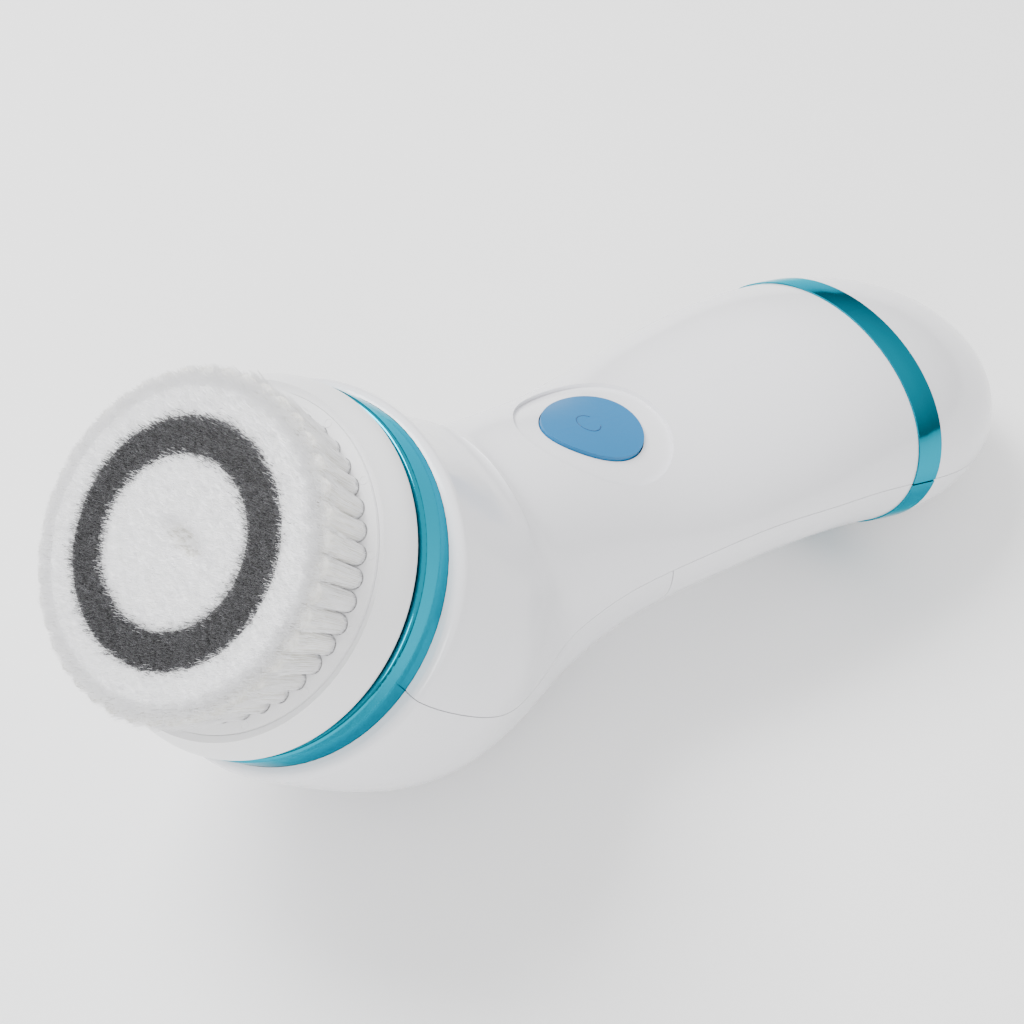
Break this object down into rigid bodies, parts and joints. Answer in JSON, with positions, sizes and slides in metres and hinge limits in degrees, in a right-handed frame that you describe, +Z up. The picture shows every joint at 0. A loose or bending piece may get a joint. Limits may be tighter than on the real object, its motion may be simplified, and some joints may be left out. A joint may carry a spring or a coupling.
{
  "type": "facial cleansing brush",
  "caption": "Battery-powered facial cleansing brush: curved white handle, round rotating brush head with a charcoal ring, cyan trim rings and a teardrop power button.",
  "frame": {"origin": "centre of the footprint box, at the level of the lowest point when the back faces down", "axes": "+X along the handle from the brush head to the tail, +Z up out of the front, +Y to the right seen from the tail"},
  "size_m": [0.1766, 0.0611, 0.0773],
  "materials": {
    "white_abs": "glossy moulded ABS",
    "cyan_chrome": "cyan-tinted vacuum-metallised plastic",
    "brush_white": "semi-gloss moulded plastic",
    "white_fibre": "fine soft nylon fibre",
    "charcoal_fibre": "fine soft nylon fibre, charcoal",
    "blue_abs": "satin moulded ABS",
    "white_acetal": "moulded acetal",
    "natural_nylon": "moulded nylon",
    "black_plastic": "moulded plastic",
    "grey_silicone": "silicone",
    "sintered_bronze": "sintered",
    "brass": "machined",
    "bright_steel": "ground",
    "motor_steel": "zinc plated",
    "zinc_steel": "zinc plated",
    "board_green": "solder mask",
    "cell_sleeve": "printed sleeve, left plain",
    "nickel_contact": "nickel plated spring steel"
  },
  "bodies": {
    "handle": {"front_shell": "white_abs", "back_shell": "white_abs", "head_trim_ring": "cyan_chrome", "tail_trim_front": "cyan_chrome", "front_plate": "white_abs", "plate_screws": "zinc_steel", "spindle_bush": "sintered_bronze", "shaft_seal": "grey_silicone", "idler_pin": "bright_steel", "motor_can": "motor_steel", "motor_end_cap": "black_plastic", "motor_screws": "zinc_steel", "gearbox_frame": "natural_nylon", "button_seal": "grey_silicone", "circuit_board": "board_green", "board_parts": "black_plastic", "switch_body": "black_plastic", "battery_tray": "natural_nylon", "battery_left": "cell_sleeve", "battery_right": "cell_sleeve", "spring_contact_left": "nickel_contact", "spring_contact_right": "nickel_contact", "flat_contact_left": "nickel_contact", "flat_contact_right": "nickel_contact", "case_screws": "zinc_steel"},
    "cover": {"battery_cover": "white_abs", "tail_trim_back": "cyan_chrome"},
    "spindle": {"drive_spindle": "white_acetal", "output_gear": "white_acetal"},
    "brush_head": {"brush_base": "brush_white", "tuft_plate": "brush_white", "bristles_outer": "white_fibre", "bristles_dark": "charcoal_fibre", "bristles_centre": "white_fibre"},
    "idler": {"idler_gear": "white_acetal"},
    "rotor": {"motor_shaft": "bright_steel", "motor_pinion": "brass"},
    "button": {"power_button": "blue_abs"},
    "plunger": {"switch_plunger": "natural_nylon"}
  },
  "joints": [
    {"name": "spindle_spin", "type": "hinge", "parent": "handle", "child": "spindle", "pos_m": [-0.05517, 0, 0.04425], "axis": [-0.7254, 0, 0.6884], "continuous": true},
    {"name": "brush_head_pull", "type": "slide", "parent": "spindle", "child": "brush_head", "axis": [-0.7254, 0, 0.6884], "range_m": [0, 0.02]},
    {"name": "idler_spin", "type": "hinge", "parent": "handle", "child": "idler", "pos_m": [-0.04953, 0.00882, 0.05019], "axis": [-0.7254, 0, 0.6884], "continuous": true},
    {"name": "rotor_spin", "type": "hinge", "parent": "handle", "child": "rotor", "pos_m": [-0.04622, 0, 0.05368], "axis": [-0.7254, 0, 0.6884], "continuous": true},
    {"name": "button_press", "type": "slide", "parent": "handle", "child": "button", "axis": [-0.2874, 0, -0.9578], "range_m": [0, 0.0008], "stiffness_N_per_m": 1500},
    {"name": "plunger_press", "type": "slide", "parent": "handle", "child": "plunger", "axis": [-0.2874, 0, -0.9578], "range_m": [0, 0.0003]},
    {"name": "cover_open", "type": "hinge", "parent": "handle", "child": "cover", "pos_m": [0.08796, 0, 0.00913], "axis": [0, -1, 0], "range_deg": [0, 50]}
  ],
  "couplings": [
    {"joint": "idler_spin", "follows": "spindle_spin", "ratio": -3},
    {"joint": "rotor_spin", "follows": "spindle_spin", "ratio": 9},
    {"joint": "plunger_press", "follows": "button_press", "ratio": 0.375}
  ]
}
